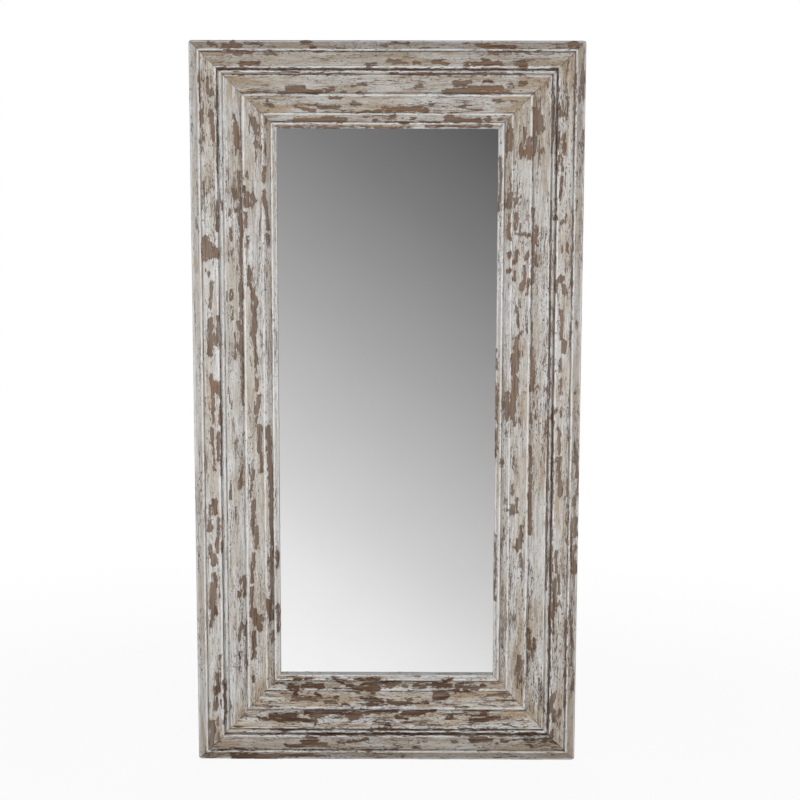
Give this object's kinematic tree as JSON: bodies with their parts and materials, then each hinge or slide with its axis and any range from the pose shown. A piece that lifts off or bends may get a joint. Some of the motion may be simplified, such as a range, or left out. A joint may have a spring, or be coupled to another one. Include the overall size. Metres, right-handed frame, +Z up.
{
  "type": "floor mirror",
  "caption": "Tall leaner mirror in a wide stepped, whitewashed and worn timber moulding, with a recessed glass, a battened back and swinging hanging rings.",
  "frame": {"origin": "middle of the whole object's box, on the floor under its foot pads", "axes": "+Z up the frame, front face towards -Y, +X to the viewer's right"},
  "size_m": [1.065, 0.11, 2],
  "materials": {
    "whitewashed_timber": "worn off-white paint over brown timber",
    "raw_pine": "sawn, unpainted",
    "silvered_glass": "polished",
    "brown_fibreboard": "pressed board",
    "black_rubber": "matte",
    "beech": "unpainted",
    "zinc_screw": "zinc plated",
    "zinc_plated_steel": "zinc plated"
  },
  "bodies": {
    "root": {"back_batten_bottom": "raw_pine", "back_batten_left": "raw_pine", "back_batten_right": "raw_pine", "back_batten_top": "raw_pine", "backing_board": "brown_fibreboard", "backing_screws": "zinc_screw", "batten_screws": "zinc_screw", "brace_screws": "zinc_screw", "bumper_screws": "zinc_screw", "corner_brace_bottom_left": "zinc_plated_steel", "corner_brace_bottom_right": "zinc_plated_steel", "corner_brace_top_left": "zinc_plated_steel", "corner_brace_top_right": "zinc_plated_steel", "foot_pad_1": "black_rubber", "foot_pad_2": "black_rubber", "foot_pad_3": "black_rubber", "foot_pad_4": "black_rubber", "glass_batten_bottom": "raw_pine", "glass_batten_left": "raw_pine", "glass_batten_right": "raw_pine", "glass_batten_top": "raw_pine", "glass_packing": "black_rubber", "hanger_screws": "zinc_screw", "inner_rail_bottom": "whitewashed_timber", "inner_rail_left": "whitewashed_timber", "inner_rail_right": "whitewashed_timber", "inner_rail_top": "whitewashed_timber", "mirror_glass": "silvered_glass", "mitre_splines": "beech", "outer_rail_bottom": "whitewashed_timber", "outer_rail_left": "whitewashed_timber", "outer_rail_right": "whitewashed_timber", "outer_rail_top": "whitewashed_timber", "rail_dowels": "beech", "rib_block_bottom_1": "raw_pine", "rib_block_left_1": "raw_pine", "rib_block_left_2": "raw_pine", "rib_block_left_3": "raw_pine", "rib_block_right_1": "raw_pine", "rib_block_right_2": "raw_pine", "rib_block_right_3": "raw_pine", "rib_block_top_1": "raw_pine", "sight_slip_bottom": "whitewashed_timber", "sight_slip_left": "whitewashed_timber", "sight_slip_right": "whitewashed_timber", "sight_slip_top": "whitewashed_timber", "strap_hanger_left": "zinc_plated_steel", "strap_hanger_right": "zinc_plated_steel", "wall_bumper_bottom_left": "black_rubber", "wall_bumper_bottom_right": "black_rubber", "wall_bumper_top_left": "black_rubber", "wall_bumper_top_right": "black_rubber"},
    "ring_left": {"d_ring_left": "zinc_plated_steel"},
    "ring_right": {"d_ring_right": "zinc_plated_steel"}
  },
  "joints": [
    {"name": "ring_swing_left", "type": "hinge", "parent": "root", "child": "ring_left", "pos_m": [-0.51, 0.04993, 1.6006], "axis": [1, 0, 0], "range_deg": [0, 175]},
    {"name": "ring_swing_right", "type": "hinge", "parent": "root", "child": "ring_right", "pos_m": [0.51, 0.04993, 1.6006], "axis": [1, 0, 0], "range_deg": [0, 175]}
  ]
}
